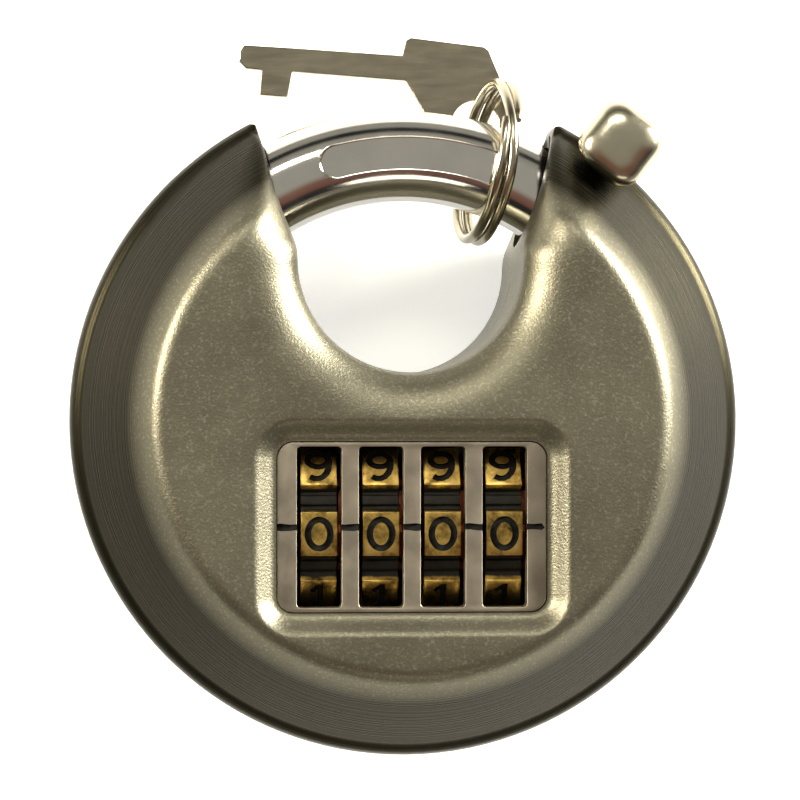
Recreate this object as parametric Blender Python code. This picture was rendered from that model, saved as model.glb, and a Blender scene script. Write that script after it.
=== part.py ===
"""Disc padlock with a four-wheel number lock, its emergency reset key and a split ring.
Metres, +Z out of the front face, +Y towards the shackle, origin on the back face."""
import math

import bmesh
import bpy
from mathutils import Matrix, Vector

for ob in list(bpy.data.objects):
    bpy.data.objects.remove(ob, do_unlink=True)

MM = 0.001

# driving dimensions, in millimetres
BODY_R = 35.0            # disc radius: a 70 mm disc padlock
MID = 14.0               # half of the 28 mm thickness, the plane where the shells meet
HALF = 14.0
SEAM = 0.06              # each shell stops this far from the mid-plane
SHEET = 1.2
THROAT_R, THROAT_Y = 11.5, 16.5
SHACKLE_R = 27.85        # centreline radius of the shackle
ROD_R = 4.8
ROD_FROM, ROD_TO = 24.0, 131.0   # degrees from +X, closed
SHACKLE_TURN = 72.0
TUNNEL_R = 6.1
SLOT_FROM, SLOT_TO, SLOT_H = -27.0, 58.0, 1.8
KNOB_ANGLE = 52.3
WHEEL_Y, WHEEL_Z = -10.7, 14.8
WHEEL_APOTHEM, WHEEL_W, WHEEL_PITCH = 11.4, 3.75, 6.28
WHEEL_REST = 3.5          # degrees the digits stand past the index line
WINDOW_W, WINDOW_H = 27.2, 17.1
RECESS_W, RECESS_H, RECESS_Z = 30.4, 20.3, 26.7
AXLE_R = 1.5
RING_R, RING_WIRE = 8.4, 0.55
KEY_T = 1.1
KEY_HOLE, KEY_Z, KEY_LEAN = (8.4, 32.2), 4.55, 0.165
FLOOR_Z = 1.5
PLUG = (-20.1, -4.8)         # the reset key's plug in the back face

# outer band of a shell: radius, height above the mid-plane
BAND = [(35.0, 2.6), (34.7, 3.4), (34.1, 4.0), (33.6, 4.5), (27.0, 12.7), (26.4, 13.5), (25.4, 14.0)]
# right edge of the mouth, from the widest point of the throat to the horn tip
MOUTH = [(11.5, 16.5), (11.75, 18.0), (12.5, 19.5), (13.35, 21.0), (14.15, 23.5), (14.5, 26.0), (14.9, 28.0),
         (15.4, 30.0), (15.7, 30.8)]


def material(name, colour, metallic, rough):
    m = bpy.data.materials.new(name)
    m.use_nodes = True
    b = m.node_tree.nodes["Principled BSDF"]
    b.inputs["Base Color"].default_value = (*colour, 1.0)
    b.inputs["Metallic"].default_value = metallic
    b.inputs["Roughness"].default_value = rough
    return m


STEEL = (0.33, 0.31, 0.27)
BRIGHT = (0.62, 0.60, 0.57)
BRASS = (0.50, 0.38, 0.18)
ZINC = (0.42, 0.42, 0.41)
DARK = (0.09, 0.09, 0.09)
SPRING = (0.30, 0.30, 0.31)


def new_object(name, bm, colour, metallic=1.0, rough=0.35, origin=(0, 0, 0)):
    """A bmesh in millimetres becomes a named object in metres, with its origin where asked."""
    bmesh.ops.remove_doubles(bm, verts=bm.verts, dist=1e-5)
    bmesh.ops.recalc_face_normals(bm, faces=bm.faces)
    o = Vector(origin)
    for v in bm.verts:
        v.co = (v.co - o) * MM
    me = bpy.data.meshes.new(name)
    bm.to_mesh(me)
    bm.free()
    me.materials.append(material(name + "_mat", colour, metallic, rough))
    ob = bpy.data.objects.new(name, me)
    ob.location = o * MM
    bpy.context.collection.objects.link(ob)
    return ob


def polar(r, deg):
    return r * math.cos(math.radians(deg)), r * math.sin(math.radians(deg))


def prism(bm, outline, z0, z1):
    """A closed prism over an outline of (x, y), from z0 to z1."""
    a = [bm.verts.new((x, y, z0)) for x, y in outline]
    b = [bm.verts.new((x, y, z1)) for x, y in outline]
    n = len(a)
    bm.faces.new(a[::-1])
    bm.faces.new(b)
    for i in range(n):
        bm.faces.new((a[i], a[(i + 1) % n], b[(i + 1) % n], b[i]))
    return a + b


def lathe(bm, profile, n, centre=(0, 0, 0), axis="Z"):
    """Turns a closed profile of (radius, height); a radius of 0 sits on the axis."""
    rings = []
    for r, h in profile:
        if r < 1e-9:
            rings.append([bm.verts.new((0, 0, h))] * n)
        else:
            rings.append([bm.verts.new((*polar(r, 360 * i / n), h)) for i in range(n)])
    m = len(rings)
    for k in range(m):
        p, q = rings[k], rings[(k + 1) % m]
        for i in range(n):
            j = (i + 1) % n
            vs = []
            for v in (p[i], p[j], q[j], q[i]):
                if v not in vs:
                    vs.append(v)
            if len(vs) > 2:
                bm.faces.new(vs)
    turn = {"Z": Matrix(), "X": Matrix.Rotation(math.pi / 2, 4, "Y"), "Y": Matrix.Rotation(-math.pi / 2, 4, "X")}
    verts = {v for ring in rings for v in ring}
    for v in verts:
        v.co = turn[axis] @ v.co + Vector(centre)
    return verts


def tube(bm, points, radius, n, closed=False, squash=1.0):
    """A round wire along a list of points."""
    m = len(points)
    pts = [Vector(p) for p in points]
    rings = []
    up = None
    for k in range(m):
        a = pts[(k - 1) % m] if closed or k else pts[0]
        b = pts[(k + 1) % m] if closed or k < m - 1 else pts[-1]
        t = (b - a).normalized()
        if up is None:
            up = t.orthogonal().normalized()
        up = (up - t * up.dot(t)).normalized()
        side = t.cross(up)
        rings.append([bm.verts.new(pts[k] + radius * (math.cos(2 * math.pi * i / n) * up
                                                      + squash * math.sin(2 * math.pi * i / n) * side))
                      for i in range(n)])
    for k in range(m if closed else m - 1):
        p, q = rings[k], rings[(k + 1) % m]
        for i in range(n):
            j = (i + 1) % n
            bm.faces.new((p[i], p[j], q[j], q[i]))
    if not closed:
        bm.faces.new(rings[0][::-1])
        bm.faces.new(rings[-1])


def coil(bm, start, axis, length, radius, wire, turns, sides=6, steps=10):
    """A compression spring: a helix round the axis through start."""
    a = Vector(axis).normalized()
    u = a.orthogonal().normalized()
    v = a.cross(u)
    n = int(turns * steps)
    tube(bm, [Vector(start) + a * (length * k / n)
              + radius * (math.cos(2 * math.pi * k / steps) * u + math.sin(2 * math.pi * k / steps) * v)
              for k in range(n + 1)], wire, sides)


def rounded_rect(w, h, r, cx=0.0, cy=0.0, n=4):
    out = []
    for sx, sy, a0 in ((1, 1, 0), (-1, 1, 90), (-1, -1, 180), (1, -1, 270)):
        for k in range(n + 1):
            x, y = polar(r, a0 + 90 * k / n)
            out.append((cx + sx * (w / 2 - r) + x, cy + sy * (h / 2 - r) + y))
    return out


def box(bm, x0, x1, y0, y1, z0, z1):
    return prism(bm, [(x0, y0), (x1, y0), (x1, y1), (x0, y1)], z0, z1)


def boolean(ob, cutter_bm, op="DIFFERENCE"):
    """Cuts or joins a bmesh in millimetres with an object, and applies it."""
    bmesh.ops.recalc_face_normals(cutter_bm, faces=cutter_bm.faces)
    for v in cutter_bm.verts:
        v.co = v.co * MM - ob.location
    me = bpy.data.meshes.new("cutter")
    cutter_bm.to_mesh(me)
    cutter_bm.free()
    cut = bpy.data.objects.new("cutter", me)
    cut.location = ob.location
    cut.hide_render = True
    cut.display_type = "WIRE"
    bpy.context.collection.objects.link(cut)
    m = ob.modifiers.new("cut", "BOOLEAN")
    m.operation = op
    m.solver = "EXACT"
    m.object = cut
    bpy.context.view_layer.update()
    made = bpy.data.meshes.new_from_object(ob.evaluated_get(bpy.context.evaluated_depsgraph_get()))
    ob.modifiers.clear()
    keep = ob.data.materials[0]
    ob.data = made
    ob.data.materials.clear()
    ob.data.materials.append(keep)
    for p in ob.data.polygons:
        p.material_index = 0
    bpy.data.objects.remove(cut, do_unlink=True)


# ---------------------------------------------------------------- casing shells
def interp(table, x):
    """Linear interpolation in a table of (x, y) sorted either way."""
    t = sorted(table)
    if x <= t[0][0]:
        return t[0][1]
    for (x0, y0), (x1, y1) in zip(t, t[1:]):
        if x <= x1:
            return y0 + (y1 - y0) * (x - x0) / (x1 - x0)
    return t[-1][1]


def throat_curve(offset, steps_u, steps_m):
    """Right half of the throat edge, from its bottom up to the horn, moved outwards by the offset."""
    pts = [(polar(THROAT_R + offset, -90 + 90 * k / steps_u)) for k in range(steps_u)]
    pts = [(x, y + THROAT_Y) for x, y in pts]
    n = len(MOUTH)
    for k in range(steps_m + 1):
        s = (n - 1) * k / steps_m
        i = min(int(s), n - 2)
        f = s - i
        p = [MOUTH[max(i - 1, 0)], MOUTH[i], MOUTH[i + 1], MOUTH[min(i + 2, n - 1)]]
        xy, dxy = [], []
        for c in (0, 1):
            a, b, cc, d = (q[c] for q in p)
            xy.append(0.5 * (2 * b + (cc - a) * f + (2 * a - 5 * b + 4 * cc - d) * f * f
                             + (3 * b - a - 3 * cc + d) * f ** 3))
            dxy.append(0.5 * ((cc - a) + 2 * (2 * a - 5 * b + 4 * cc - d) * f + 3 * (3 * b - a - 3 * cc + d) * f * f))
        t = math.hypot(*dxy)
        if k == 0:
            dxy, t = [0, 1], 1
        pts.append((xy[0] + offset * dxy[1] / t, xy[1] - offset * dxy[0] / t))
    return pts


def arch(x, y, radius=TUNNEL_R):
    """Height of the tunnel's roof over the rod; 0 away from it, or below the mouth."""
    d = math.hypot(x, y) - SHACKLE_R
    if y < 17.0 or abs(d) >= radius:
        return 0.0
    return math.sqrt(radius * radius - d * d)


def smooth(x):
    x = min(max(x, 0.0), 1.0)
    return x * x * (3 - 2 * x)


def lip(x, y, roof):
    """Height where the throat's rounded edge starts: 10 round the U, lower along the mouths."""
    return 10.0 + (min(10.0, max(roof + 0.9, 3.4)) - 10.0) * smooth((y - 16.5) / 7.5)


def shell_loop(inner, nu, nm, no):
    """The two edges of the crescent, as paired points: (outer point, throat point) per column."""
    off = SHEET if inner else 0.0
    edge = throat_curve(off, nu, nm)
    if inner:
        edge = [p for p in edge if math.hypot(*p) < 32.3]
        extra = nu + nm + 1 - len(edge)
        last = edge[-1]
        for _ in range(extra):
            edge.insert(-1, ((edge[-2][0] + last[0]) / 2, (edge[-2][1] + last[1]) / 2))
    lens = [0.0]
    for a, b in zip(edge, edge[1:]):
        lens.append(lens[-1] + math.hypot(b[0] - a[0], b[1] - a[1]))
    R = BODY_R - off
    tip = math.degrees(math.atan2(edge[-1][1], edge[-1][0]))
    top = tip - (1.2 if inner else 0.9)
    right = []
    for p, s in zip(edge, lens):
        u = s / lens[-1]
        a = -90 + (top + 90) * (1 - (1 - u) ** 1.5)
        right.append((polar(R, a), p))
    left = [((-o[0], o[1]), (-p[0], p[1])) for o, p in right[:0:-1]]
    return left + right


def shell_height(x, y, d_edge, lipz, inner, y_edge):
    """Height of the sheet's face above the mid-plane."""
    r = math.hypot(x, y)
    top = HALF - (SHEET if inner else 0.0)
    band = interp(BAND, r + 1.3) if inner else interp(BAND, r)
    rho = 4.2 - 1.8 * smooth((y_edge - 18.0) / 9.0)
    rho = max(rho - SHEET, 0.6) if inner else rho
    t = min(d_edge / rho, 1.0)
    lz = lipz - (0.5 if inner else 0.0)
    flat = min(top, band)
    return flat if flat < lz else lz + (flat - lz) * math.sqrt(max(0.0, 1 - (1 - t) ** 2))


def shell(name, sign, nu, nm):
    """One pressed half of the casing: a crescent grid, its inside face, and the skirts between."""
    bm = bmesh.new()
    faces = []
    loops = []
    outs = [0, 0.3, 0.9, 1.4, 4.2, 8.0, 8.6, 9.6]
    ins = [0, 0.25, 0.8, 1.7, 2.9, 4.2]
    for inner in (False, True):
        cols = shell_loop(inner, nu, nm, 0)
        grid, lower_o, lower_i = [], [], []
        for (ox, oy), (px, py) in cols:
            L = math.hypot(px - ox, py - oy)
            so = min(1.0, 0.60 * L / outs[-1])
            si = min(1.0, 0.34 * L / ins[-1])
            ts = [so * d / L for d in outs] + [1 - si * d / L for d in reversed(ins)]
            roof = arch(px, py)
            lz = lip(abs(px), py, roof)
            row = []
            for k, t in enumerate(ts):
                x, y = ox + (px - ox) * t, oy + (py - oy) * t
                d = (1 - t) * L
                z = shell_height(x, y, d, lz, inner, py)
                if k == len(ts) - 1:
                    z = min(z, max(interp(BAND, math.hypot(x, y) + (1.3 if inner else 0)), roof + 0.3))
                    z = max(z, roof + 0.3)
                row.append((x, y, z))
            grid.append(row)
            ang = math.degrees(math.atan2(oy, ox))
            slot = SLOT_H if SLOT_FROM <= ang <= SLOT_TO else SEAM
            lower_o.append((ox, oy, min(slot, row[0][2] - 0.2)))
            lower_i.append((px, py, max(roof, SEAM)))
        V = [[bm.verts.new((x, y, MID + sign * z)) for x, y, z in row] for row in grid]
        n, m = len(V), len(V[0])
        for i in range(n - 1):
            for j in range(m - 1):
                faces.append((V[i][j], V[i + 1][j], V[i + 1][j + 1], V[i][j + 1]))
        top_loop = [V[i][0] for i in range(n)] + [V[n - 1][j] for j in range(1, m - 1)] \
            + [V[i][m - 1] for i in range(n - 1, -1, -1)] + [V[0][j] for j in range(m - 2, 0, -1)]
        LO = [bm.verts.new((x, y, MID + sign * z)) for x, y, z in lower_o]
        LI = [bm.verts.new((x, y, MID + sign * z)) for x, y, z in lower_i]

        def end(i):
            out = []
            za, zb = lower_o[i][2], lower_i[i][2]
            for j in range(1, m - 1):
                x, y, z = grid[i][j]
                f = j / (m - 1)
                out.append(bm.verts.new((x, y, MID + sign * min(z - 0.1, za + (zb - za) * f))))
            return out
        low_loop = LO + end(n - 1) + LI[::-1] + end(0)[::-1]
        for i in range(len(top_loop)):
            j = (i + 1) % len(top_loop)
            faces.append((top_loop[i], top_loop[j], low_loop[j], low_loop[i]))
        loops.append(low_loop)
    a, b = loops
    for i in range(len(a)):
        j = (i + 1) % len(a)
        faces.append((a[i], a[j], b[j], b[i]))
    for f in faces:
        bm.faces.new(f)
    bmesh.ops.triangulate(bm, faces=bm.faces)
    return new_object(name, bm, STEEL, 1.0, 0.38)


def front_shell():
    ob = shell("front_shell", 1, 16, 14)
    bm = bmesh.new()
    prism(bm, rounded_rect(RECESS_W + 3.0, RECESS_H + 3.0, 3.0, 0, WHEEL_Y), 25.0, 27.4)
    boolean(ob, bm, "UNION")
    bm = bmesh.new()
    low = rounded_rect(WINDOW_W + 0.7, WINDOW_H + 0.7, 1.9, 0, WHEEL_Y)
    high = rounded_rect(RECESS_W + 0.3, RECESS_H + 0.3, 3.2, 0, WHEEL_Y)
    a = [bm.verts.new((x, y, RECESS_Z)) for x, y in low]
    b = [bm.verts.new((x, y, 28.4)) for x, y in high]
    bm.faces.new(a[::-1])
    bm.faces.new(b)
    for i in range(len(a)):
        j = (i + 1) % len(a)
        bm.faces.new((a[i], a[j], b[j], b[i]))
    boolean(ob, bm)
    bm = bmesh.new()
    prism(bm, rounded_rect(WINDOW_W + 0.4, WINDOW_H + 0.4, 1.8, 0, WHEEL_Y), 20.0, 30.0)
    boolean(ob, bm)
    return ob


def back_shell():
    ob = shell("back_shell", -1, 16, 14)
    bm = bmesh.new()
    lathe(bm, [(0, -1), (4.2, -1), (4.2, 3), (0, 3)], 28, (*PLUG, 0))
    boolean(ob, bm)
    return ob


def window_plate():
    bm = bmesh.new()
    prism(bm, rounded_rect(WINDOW_W, WINDOW_H, 1.6, 0, WHEEL_Y), 24.6, RECESS_Z - 0.2)
    ob = new_object("window_plate", bm, (0.30, 0.28, 0.25), 1.0, 0.45)
    for k in range(4):
        x = (k - 1.5) * WHEEL_PITCH
        bm = bmesh.new()
        prism(bm, rounded_rect(4.53, 16.3, 0.4, x, WHEEL_Y, 2), 20, 30)
        boolean(ob, bm)
    return ob


# ---------------------------------------------------------------- shackle
def shackle():
    """Round bar bent to an arc about the disc's axis, with a shallow panel on its front and a bolt notch."""
    bm = bmesh.new()
    n, m = 26, 20
    rings = []
    for k in range(m + 1 + 2):
        if k == 0:
            a, rad = ROD_FROM, ROD_R - 0.8
        elif k == m + 2:
            a, rad = ROD_TO, ROD_R - 0.8
        else:
            a = ROD_FROM + 1.7 + (ROD_TO - ROD_FROM - 3.4) * (k - 1) / m
            rad = ROD_R
        ca, sa = math.cos(math.radians(a)), math.sin(math.radians(a))
        rings.append([bm.verts.new((
            (SHACKLE_R + rad * math.cos(2 * math.pi * i / n)) * ca,
            (SHACKLE_R + rad * math.cos(2 * math.pi * i / n)) * sa,
            MID + rad * math.sin(2 * math.pi * i / n))) for i in range(n)])
    for p, q in zip(rings, rings[1:]):
        for i in range(n):
            j = (i + 1) % n
            bm.faces.new((p[i], p[j], q[j], q[i]))
    bm.faces.new(rings[0][::-1])
    bm.faces.new(rings[-1])
    ob = new_object("shackle", bm, BRIGHT, 1.0, 0.12)
    # panel
    bm = bmesh.new()
    out = [polar(SHACKLE_R + 1.9, 69 + 36 * k / 9) for k in range(10)]
    c = polar(SHACKLE_R, 105)
    out += [(c[0] + 1.9 * math.cos(math.radians(105 + 30 * k)), c[1] + 1.9 * math.sin(math.radians(105 + 30 * k)))
            for k in range(1, 6)]
    out += [polar(SHACKLE_R - 1.9, 105 - 36 * k / 9) for k in range(10)]
    prism(bm, out, MID + ROD_R - 0.45, MID + ROD_R + 1)
    boolean(ob, bm)
    # notch for the locking bolt, on the inner side near the tail
    bm = bmesh.new()
    for a0, a1 in ((28.2, 35.8),):
        out = [polar(20, a0), polar(20, a1), polar(SHACKLE_R - 2.2, a1), polar(SHACKLE_R - 2.2, a0)]
        prism(bm, out, MID - 3.0, MID + 3.0)
    boolean(ob, bm)
    # threaded hole for the knob
    bm = bmesh.new()
    lathe(bm, [(0, 0), (1.35, 0), (1.35, 12), (0, 12)], 16, (0, 0, 0), "X")
    for v in bm.verts:
        v.co = Matrix.Rotation(math.radians(KNOB_ANGLE), 4, "Z") @ (v.co + Vector((SHACKLE_R - 1.0, 0, MID)))
    boolean(ob, bm)
    # flat seat for the knob's stem
    bm = bmesh.new()
    box(bm, SHACKLE_R + ROD_R - 0.9, SHACKLE_R + ROD_R + 1, -2.2, 2.2, MID - 2.2, MID + 2.2)
    for v in bm.verts:
        v.co = Matrix.Rotation(math.radians(KNOB_ANGLE), 4, "Z") @ v.co
    boolean(ob, bm)
    return ob


# the knob's sections: height above the mid-plane, inner and outer radius, clockwise and
# anticlockwise side, corner radius
KNOB = [(-2.6, 36.4, 39.2, -3.3, 3.5, 1.2), (-2.2, 35.9, 39.8, -3.8, 4.0, 1.6), (-1.0, 35.7, 40.1, -4.0, 4.3, 1.9),
        (3.2, 35.7, 40.2, -3.9, 4.4, 2.1), (5.4, 34.1, 40.1, -3.7, 4.3, 2.2), (7.4, 32.5, 39.9, -3.6, 4.0, 2.2),
        (8.3, 32.4, 39.7, -3.5, 3.7, 2.2), (9.0, 32.8, 39.2, -3.1, 3.2, 2.1), (9.5, 33.5, 38.5, -2.4, 2.5, 1.8),
        (9.7, 34.3, 37.6, -1.6, 1.7, 1.2)]


def shackle_knob():
    """Thumb knob outside the rim, with the stem that passes through the rim slot."""
    bm = bmesh.new()
    layers = []
    for h, r0, r1, t0, t1, rc in KNOB:
        ring = rounded_rect(r1 - r0, t1 - t0, rc, (r0 + r1) / 2, (t0 + t1) / 2, 3)
        layers.append([bm.verts.new((x, y, MID + h)) for x, y in ring])
    for p, q in zip(layers, layers[1:]):
        for i in range(len(p)):
            j = (i + 1) % len(p)
            bm.faces.new((p[i], p[j], q[j], q[i]))
    bm.faces.new(layers[0][::-1])
    bm.faces.new(layers[-1])
    bmesh.ops.triangulate(bm, faces=bm.faces)
    rot = Matrix.Rotation(math.radians(KNOB_ANGLE), 4, "Z")
    for v in bm.verts:
        v.co = rot @ v.co
    ob = new_object("shackle_knob", bm, BRIGHT, 1.0, 0.18)
    bm = bmesh.new()
    box(bm, SHACKLE_R + ROD_R - 0.6, 37.0, -1.45, 1.45, MID - 1.45, MID + 1.45)
    for v in bm.verts:
        v.co = rot @ v.co
    boolean(ob, bm, "UNION")
    bm = bmesh.new()
    prof = [(0, 30), (1.15, 30), (1.15, 36.6), (2.0, 36.6), (2.0, 41), (0, 41)]
    lathe(bm, prof, 16, (0, 0, 0), "X")
    for v in bm.verts:
        v.co = rot @ (v.co + Vector((0, 0, MID)))
    boolean(ob, bm)
    return ob


def knob_screw():
    """Socket screw that holds the knob on the shackle, along the stem."""
    bm = bmesh.new()
    prof = [(0, 27.6), (0.95, 27.6), (0.95, 36.9), (1.75, 36.9), (1.75, 39.4), (0.75, 39.4), (0.75, 38.3), (0, 38.3)]
    lathe(bm, prof, 12, (0, 0, 0), "X")
    rot = Matrix.Rotation(math.radians(KNOB_ANGLE), 4, "Z")
    for v in bm.verts:
        v.co = rot @ (v.co + Vector((0, 0, MID)))
    return new_object("knob_screw", bm, DARK, 1.0, 0.4)


# ---------------------------------------------------------------- lock case
def arc_wall(bm, r0, r1, a0, a1, z0, z1, steps):
    out = [polar(r1, a0 + (a1 - a0) * k / steps) for k in range(steps + 1)]
    out += [polar(r0, a1 - (a1 - a0) * k / steps) for k in range(steps + 1)]
    prism(bm, out, z0, z1)


def shackle_guide():
    """Curved channel under the shackle: a floor with an inner wall that has the bolt's gap."""
    bm = bmesh.new()
    z0, z1 = 7.4, 8.9
    out = [polar(29.8, -50 + 94 * k / 14) for k in range(15)] + [polar(20.8, 44 - 94 * k / 14) for k in range(15)]
    prism(bm, out, z0, z1)
    ob = new_object("shackle_guide", bm, ZINC, 0.8, 0.5)
    bm = bmesh.new()
    arc_wall(bm, 20.8, 22.6, -22, 27.5, 8.2, 18.0, 8)
    boolean(ob, bm, "UNION")
    bm = bmesh.new()
    arc_wall(bm, 20.8, 22.6, 36.5, 43, 8.2, 18.0, 3)
    boolean(ob, bm, "UNION")
    return ob


def tip_socket():
    """Hardened block round the free end of the shackle, in the left horn."""
    bm = bmesh.new()
    out = [polar(32.2, 122 + 26 * k / 6) for k in range(7)] + [polar(23.4, 148 - 26 * k / 6) for k in range(7)]
    prism(bm, out, 10.2, 17.8)
    ob = new_object("tip_socket", bm, ZINC, 0.9, 0.45)
    bm = bmesh.new()
    n = 20
    rings = []
    for a in (118, 122, 126, 130, 133):
        ca, sa = math.cos(math.radians(a)), math.sin(math.radians(a))
        rr = ROD_R + 0.35
        rings.append([bm.verts.new(((SHACKLE_R + rr * math.cos(2 * math.pi * (i + 0.5) / n)) * ca,
                                    (SHACKLE_R + rr * math.cos(2 * math.pi * (i + 0.5) / n)) * sa,
                                    MID + rr * math.sin(2 * math.pi * (i + 0.5) / n))) for i in range(n)])
    for p, q in zip(rings, rings[1:]):
        for i in range(n):
            bm.faces.new((p[i], p[(i + 1) % n], q[(i + 1) % n], q[i]))
    bm.faces.new(rings[0][::-1])
    bm.faces.new(rings[-1])
    boolean(ob, bm)
    return ob


def chassis():
    """Lock case: a base plate with two cheeks for the wheel axle, and bosses for four screws."""
    bm = bmesh.new()
    box(bm, -15.0, 15.0, -19.9, -1.0, FLOOR_Z, FLOOR_Z + 1.4)
    ob = new_object("chassis", bm, ZINC, 0.8, 0.5)
    for x0 in (-14.5, 13.1):
        bm = bmesh.new()
        box(bm, x0, x0 + 1.4, -14.4, -3.2, FLOOR_Z + 0.5, 23.6)
        boolean(ob, bm, "UNION")
    bm = bmesh.new()
    lathe(bm, [(0, -20), (AXLE_R + 0.3, -20), (AXLE_R + 0.3, 20), (0, 20)], 24, (0, WHEEL_Y, WHEEL_Z), "X")
    boolean(ob, bm)
    bm = bmesh.new()
    for x, y in CHASSIS_SCREWS:
        lathe(bm, [(0, -1), (1.1, -1), (1.1, 5), (0, 5)], 16, (x, y, 0))
    boolean(ob, bm)
    return ob


CHASSIS_SCREWS = [(-11.4, -17.9), (11.4, -17.9), (-11.4, -2.6), (11.4, -2.6)]


def chassis_screws():
    for k, (x, y) in enumerate(CHASSIS_SCREWS):
        bm = bmesh.new()
        z = FLOOR_Z + 1.4
        prof = [(0, FLOOR_Z + 0.0), (0.95, FLOOR_Z + 0.0), (0.95, z + 0.3), (1.75, z + 0.3), (1.75, z + 1.0),
                (1.3, z + 1.3), (0.6, z + 1.3), (0.6, z + 0.7), (0, z + 0.7)]
        lathe(bm, prof, 12, (x, y, 0))
        new_object(f"chassis_screw_{k + 1}", bm, SPRING, 1.0, 0.35)


def fence_guides():
    """Two channel blocks in which the ends of the fence bar slide."""
    for k, s in enumerate((-1, 1)):
        bm = bmesh.new()
        box(bm, *sorted((s * 12.2, s * 15.4)), -0.4, 5.2, WHEEL_Z - 4.0, WHEEL_Z + 4.0)
        ob = new_object(f"fence_guide_{k + 1}", bm, ZINC, 0.8, 0.5)
        bm = bmesh.new()
        box(bm, *sorted((s * 11.0, s * 13.4)), -2.0, 7.0, WHEEL_Z - 2.5, WHEEL_Z + 2.5)
        boolean(ob, bm)


def wheel_axle():
    bm = bmesh.new()
    prof = [(0, -15.9), (2.6, -15.9), (2.6, -15.1), (AXLE_R, -15.1), (AXLE_R, 15.6), (1.05, 15.6), (1.05, 16.4),
            (AXLE_R, 16.4), (AXLE_R, 17.0), (0, 17.0)]
    lathe(bm, prof, 24, (0, WHEEL_Y, WHEEL_Z), "X")
    return new_object("wheel_axle", bm, SPRING, 1.0, 0.3)


def axle_clip():
    """Open retaining clip in the axle's groove."""
    bm = bmesh.new()
    out = [polar(2.9, 40 + 280 * k / 16) for k in range(17)] + [polar(1.3, 320 - 280 * k / 16) for k in range(17)]
    prism(bm, out, 15.75, 16.25)
    for v in bm.verts:
        v.co = Matrix.Rotation(math.pi / 2, 4, "Y") @ v.co + Vector((0, WHEEL_Y, WHEEL_Z))
    return new_object("axle_clip", bm, SPRING, 1.0, 0.3)


def wheel_x(k):
    return (k - 1.5) * WHEEL_PITCH


def number_wheel(k):
    """Ten flats with a groove between each pair and a low rib in the groove."""
    bm = bmesh.new()
    out = []
    for n in range(10):
        a = 90 + 36 * n + WHEEL_REST
        ap = WHEEL_APOTHEM
        half = 2.25
        ca, sa = math.cos(math.radians(a)), math.sin(math.radians(a))
        for s in (-half, half):
            out.append((ap * ca - s * sa, ap * sa + s * ca))
        for da, r in ((13.2, 10.5), (15.8, 10.5), (18.0, 10.95), (20.2, 10.5), (22.8, 10.5)):
            out.append(polar(r, a + da))
    bore = [polar(4.3, 360 * i / 30) for i in range(30)]
    x0, x1 = -WHEEL_W / 2, WHEEL_W / 2
    loops = []
    for x in (x0, x1):
        loops.append([bm.verts.new((x, p, q)) for p, q in out])
    for i in range(len(out)):
        j = (i + 1) % len(out)
        bm.faces.new((loops[0][i], loops[0][j], loops[1][j], loops[1][i]))
    bm.faces.new(loops[0][::-1])
    bm.faces.new(loops[1])
    for v in bm.verts:
        v.co += Vector((wheel_x(k), WHEEL_Y, WHEEL_Z))
    ob = new_object(f"number_wheel_{k + 1}", bm, BRASS, 1.0, 0.4, (wheel_x(k), WHEEL_Y, WHEEL_Z))
    bm = bmesh.new()
    lathe(bm, [(0, -5), (4.3, -5), (4.3, 5), (0, 5)], 30, (wheel_x(k), WHEEL_Y, WHEEL_Z), "X")
    boolean(ob, bm)
    return ob


def wheel_sleeve(k):
    """Code sleeve inside a wheel: a gate disc beside the wheel, with one gate and ten detent notches."""
    bm = bmesh.new()
    out = []
    r = 7.0
    for n in range(60):
        a = 6 * n
        rr = r
        if n in (29, 30, 31):
            rr = 5.4
        elif n % 6 == 3:
            rr = r - 0.35
        # the gate faces the throat side (+Y) when the wheel shows its opening digit
        out.append(polar(rr, a + 180))
    x0, x1 = WHEEL_W / 2 + 0.3, WHEEL_W / 2 + 1.5
    a = [bm.verts.new((x0, p, q)) for p, q in out]
    b = [bm.verts.new((x1, p, q)) for p, q in out]
    bm.faces.new(a[::-1])
    bm.faces.new(b)
    for i in range(60):
        j = (i + 1) % 60
        bm.faces.new((a[i], a[j], b[j], b[i]))
    for v in bm.verts:
        v.co += Vector((wheel_x(k), WHEEL_Y, WHEEL_Z))
    ob = new_object(f"wheel_sleeve_{k + 1}", bm, ZINC, 0.9, 0.4, (wheel_x(k), WHEEL_Y, WHEEL_Z))
    bm = bmesh.new()
    lathe(bm, [(0, -WHEEL_W / 2), (4.0, -WHEEL_W / 2), (4.0, WHEEL_W / 2 + 0.9), (0, WHEEL_W / 2 + 0.9)], 30,
          (wheel_x(k), WHEEL_Y, WHEEL_Z), "X")
    boolean(ob, bm, "UNION")
    bm = bmesh.new()
    lathe(bm, [(0, -5), (AXLE_R + 0.3, -5), (AXLE_R + 0.3, 5), (0, 5)], 24, (wheel_x(k), WHEEL_Y, WHEEL_Z), "X")
    boolean(ob, bm)
    return ob


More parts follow.
